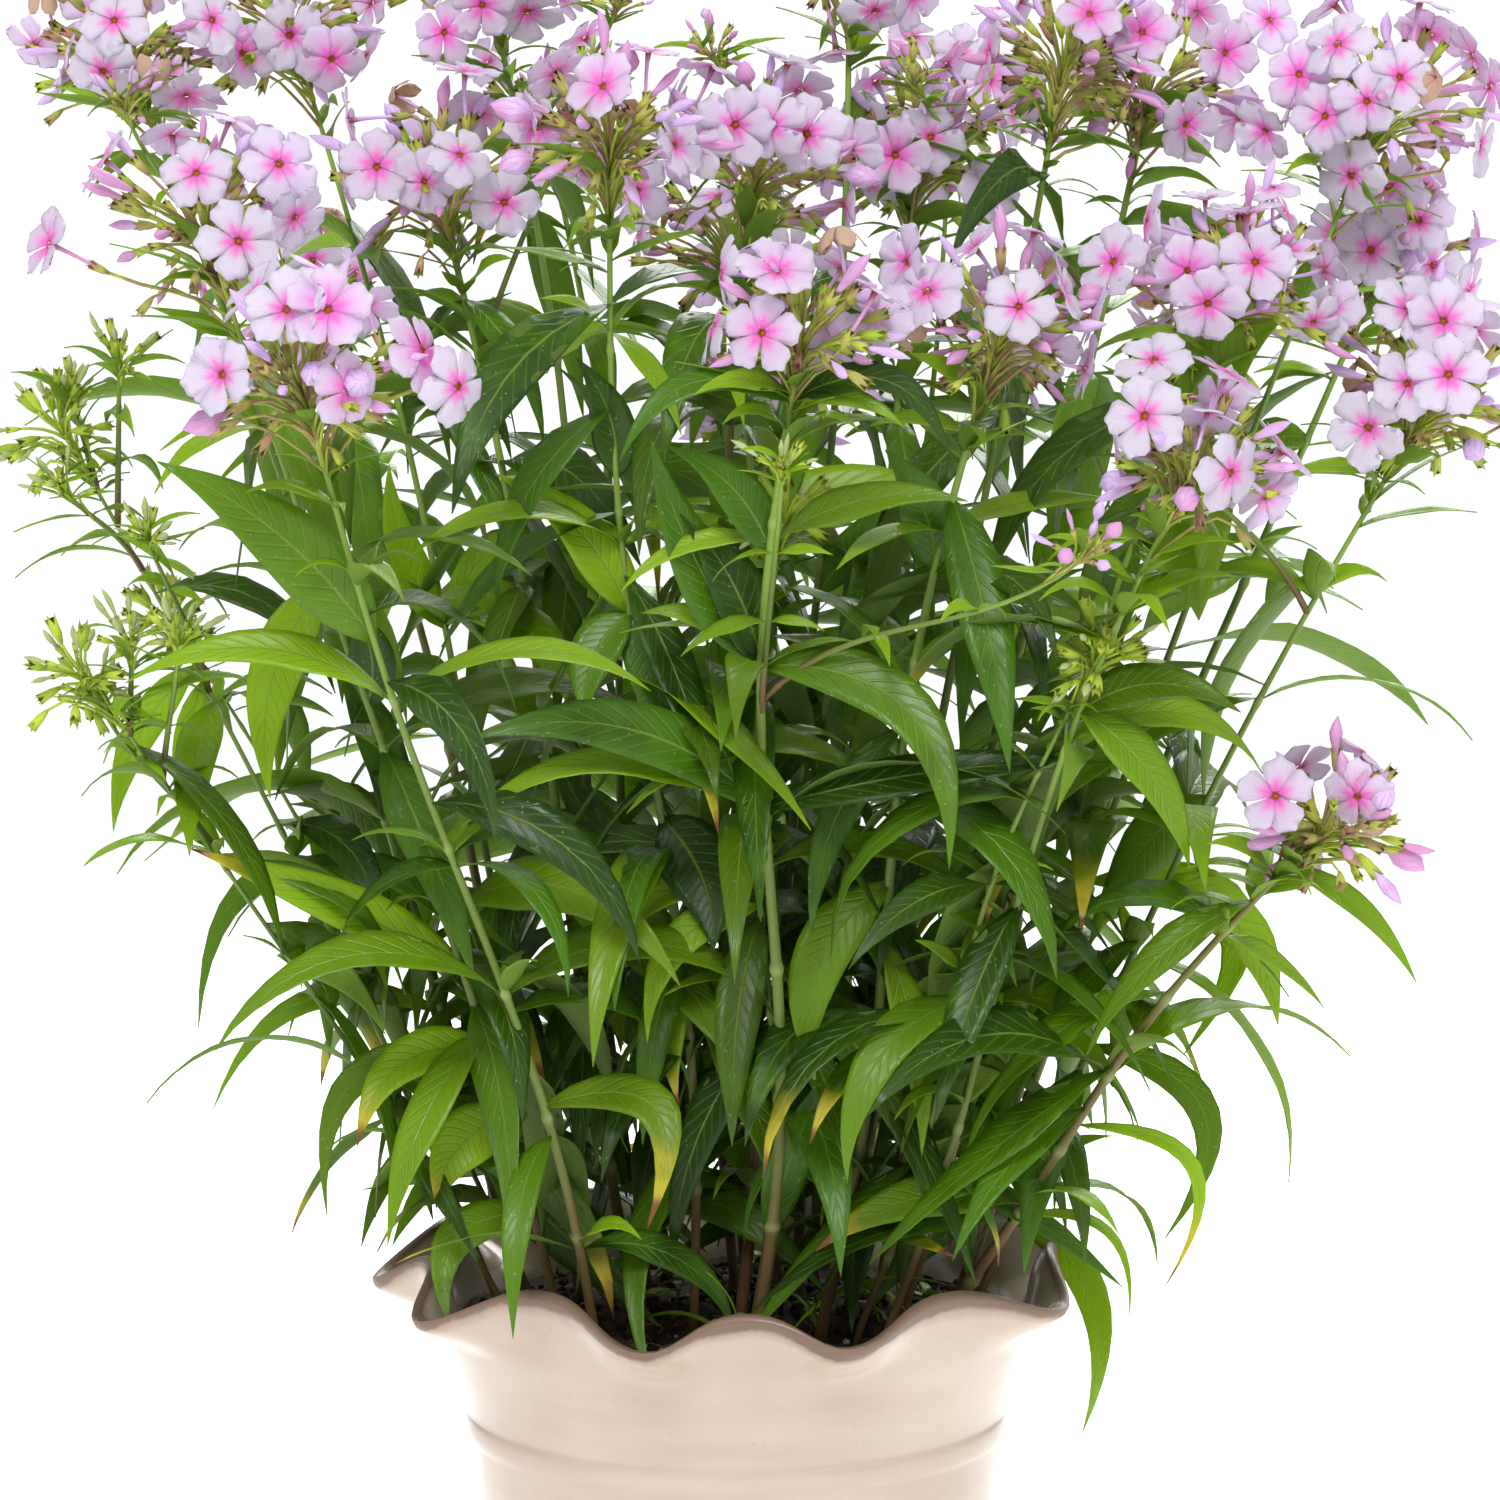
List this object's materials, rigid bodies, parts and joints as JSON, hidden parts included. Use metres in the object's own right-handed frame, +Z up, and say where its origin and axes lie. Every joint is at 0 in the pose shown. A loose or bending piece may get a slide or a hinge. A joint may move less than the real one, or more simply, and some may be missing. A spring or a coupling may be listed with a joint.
{
  "type": "potted phlox plant",
  "caption": "Flowering garden phlox in a ruffled glazed pot: upright leafy stems in compost, topped by domed heads of pale lilac, pink-eyed flowers.",
  "frame": {"origin": "centre of the pot's flat underside", "axes": "+Z up along the pot's axis; -Y is the side that the picture shows, +X is its right"},
  "size_m": [0.5077, 0.4134, 0.691],
  "materials": {
    "glaze": "gloss",
    "compost": "matte",
    "stem": "satin",
    "leaf": "satin",
    "petal": "matte"
  },
  "bodies": {
    "root": {"flower_head_01": "petal", "flower_head_02": "petal", "flower_head_03": "petal", "flower_head_04": "petal", "flower_head_05": "petal", "flower_head_06": "petal", "flower_head_07": "petal", "flower_head_08": "petal", "flower_head_09": "petal", "flower_head_10": "petal", "flower_head_11": "petal", "flower_head_12": "petal", "flower_head_13": "petal", "flower_head_14": "petal", "flower_head_15": "petal", "flower_head_16": "petal", "leaf_pair_01": "leaf", "leaf_pair_02": "leaf", "leaf_pair_03": "leaf", "leaf_pair_04": "leaf", "leaf_pair_05": "leaf", "leaf_pair_06": "leaf", "leaf_pair_07": "leaf", "leaf_pair_08": "leaf", "leaf_pair_09": "leaf", "leaf_pair_10": "leaf", "leaf_pair_11": "leaf", "leaf_pair_12": "leaf", "leaf_pair_13": "leaf", "leaf_pair_14": "leaf", "leaf_pair_15": "leaf", "leaf_pair_16": "leaf", "leaf_pair_17": "leaf", "leaf_pair_18": "leaf", "leaf_pair_19": "leaf", "leaf_pair_20": "leaf", "leaf_pair_21": "leaf", "leaf_pair_22": "leaf", "leaf_pair_23": "leaf", "leaf_pair_24": "leaf", "leaf_pair_25": "leaf", "leaf_pair_26": "leaf", "pot": "glaze", "soil": "compost", "stem_01": "stem", "stem_02": "stem", "stem_03": "stem", "stem_04": "stem", "stem_05": "stem", "stem_06": "stem", "stem_07": "stem", "stem_08": "stem", "stem_09": "stem", "stem_10": "stem", "stem_11": "stem", "stem_12": "stem", "stem_13": "stem", "stem_14": "stem", "stem_15": "stem", "stem_16": "stem"}
  },
  "joints": []
}
